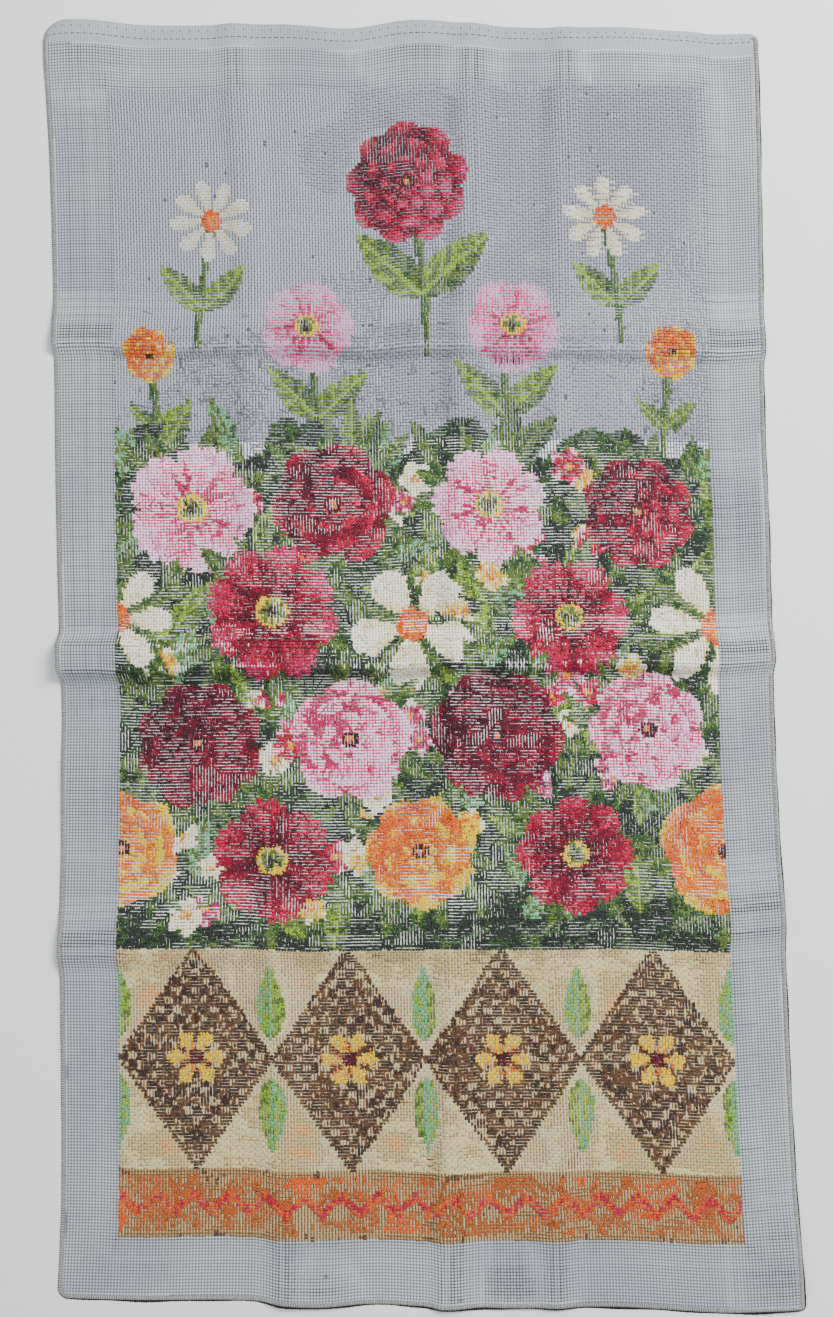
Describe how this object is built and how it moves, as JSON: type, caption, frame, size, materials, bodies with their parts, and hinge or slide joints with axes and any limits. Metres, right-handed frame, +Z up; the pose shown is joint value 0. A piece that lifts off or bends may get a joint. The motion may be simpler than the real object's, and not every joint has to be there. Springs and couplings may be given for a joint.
{
  "type": "panel of cross stitch embroidery",
  "caption": "Rectangular panel of cross stitch embroidery on pale block-weave cloth, lying reverse side up, with a solidly worked field, bare margins and soft fold ridges.",
  "frame": {"origin": "middle of the panel's outline, on the surface that it lies on", "axes": "+Y towards the selvedge at the top, +X towards the right-hand edge as seen with the reverse side up, +Z up"},
  "size_m": [0.4606, 0.7846, 0.0117],
  "materials": {
    "cloth": "matt block-weave cotton",
    "floss": "soft sheen stranded cotton in many shades",
    "edge_thread": "matt sewing thread"
  },
  "bodies": {
    "root": {"ground_cloth": "cloth", "worked_floss": "floss"}
  },
  "joints": []
}
